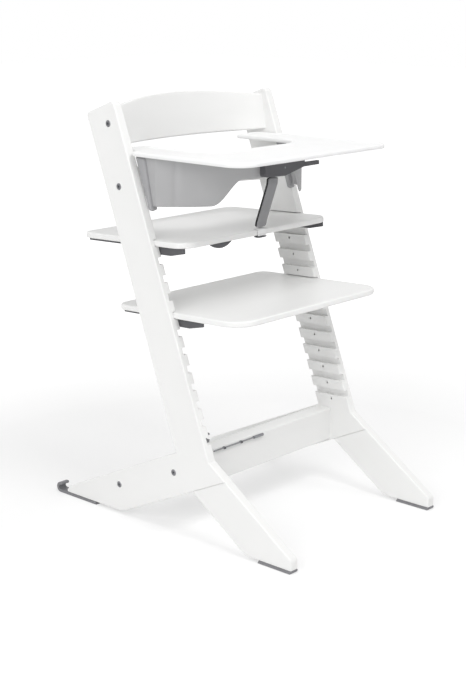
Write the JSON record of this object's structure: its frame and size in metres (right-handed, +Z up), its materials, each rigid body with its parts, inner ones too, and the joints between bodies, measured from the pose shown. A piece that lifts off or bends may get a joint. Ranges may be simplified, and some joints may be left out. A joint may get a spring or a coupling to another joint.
{
  "type": "baby high chair",
  "caption": "Free-standing high chair with two leaning side frames, grooves for a sliding seat and foot plate, a belly guard with a crotch bar and a removable tray.",
  "frame": {"origin": "on the floor, in the middle of the chair's outer box", "axes": "+Z up, the chair faces -Y, +X is towards the sitter's left"},
  "size_m": [0.461, 0.657, 0.842],
  "materials": {
    "white_lacquer": "satin white lacquer on beech",
    "white_plastic": "fine satin moulding",
    "grey_plastic": "matt moulding",
    "dark_plastic": "matt moulding",
    "steel": "zinc plated",
    "beech": "bare"
  },
  "bodies": {
    "side_frames": {"right_post": "white_lacquer", "right_rear_leg": "white_lacquer", "right_front_leg": "white_lacquer", "right_front_glide": "dark_plastic", "right_rear_glide": "dark_plastic", "left_post": "white_lacquer", "left_rear_leg": "white_lacquer", "left_front_leg": "white_lacquer", "left_front_glide": "dark_plastic", "left_rear_glide": "dark_plastic", "glide_screws": "steel", "front_stretcher": "white_lacquer", "rear_crossbar": "white_lacquer", "backrest": "white_lacquer", "lower_backrest": "white_lacquer", "frame_bolts": "steel", "barrel_nuts": "steel", "frame_dowels": "beech", "lock_bolts": "steel", "key_clips": "white_plastic"},
    "seat": {"seat_plate": "white_lacquer", "right_seat_rail": "dark_plastic", "left_seat_rail": "dark_plastic", "seat_rail_screws": "steel", "seat_lever_pin": "steel"},
    "foot_rest": {"foot_plate": "white_lacquer", "right_foot_rail": "dark_plastic", "left_foot_rail": "dark_plastic", "foot_rail_screws": "steel"},
    "baby_guard": {"guard": "white_plastic", "right_guard_hook": "grey_plastic", "left_guard_hook": "grey_plastic", "latch_housing": "dark_plastic", "release_pin": "steel", "crotch_bar": "grey_plastic"},
    "tray_body": {"tray": "white_plastic"},
    "seat_lock": {"seat_lever": "dark_plastic"},
    "release": {"tray_release_lever": "dark_plastic"},
    "key": {"hex_key": "steel"}
  },
  "joints": [
    {"name": "seat_depth", "type": "slide", "parent": "side_frames", "child": "seat", "axis": [0, 0.9994, -0.0359], "range_m": [0, 0.015]},
    {"name": "foot_depth", "type": "slide", "parent": "side_frames", "child": "foot_rest", "axis": [0, 0.9994, -0.0359], "range_m": [0, 0.015]},
    {"name": "seat_lever_turn", "type": "hinge", "parent": "seat", "child": "seat_lock", "pos_m": [-0.113, 0.00386, 0.56798], "axis": [0, 0.0359, 0.9994], "range_deg": [-20, 20]},
    {"name": "guard_off", "type": "slide", "parent": "side_frames", "child": "baby_guard", "axis": [0, -1, 0], "range_m": [0, 0.06]},
    {"name": "tray_off", "type": "slide", "parent": "baby_guard", "child": "tray_body", "axis": [0, -1, 0], "range_m": [0, 0.1]},
    {"name": "tray_release", "type": "hinge", "parent": "baby_guard", "child": "release", "pos_m": [0.024, -0.08397, 0.708], "axis": [0, -1, 0], "range_deg": [0, 10], "stiffness_Nm_per_rad": 0.15},
    {"name": "hex_key_out", "type": "slide", "parent": "side_frames", "child": "key", "axis": [1, 0, 0], "range_m": [0, 0.12]}
  ]
}
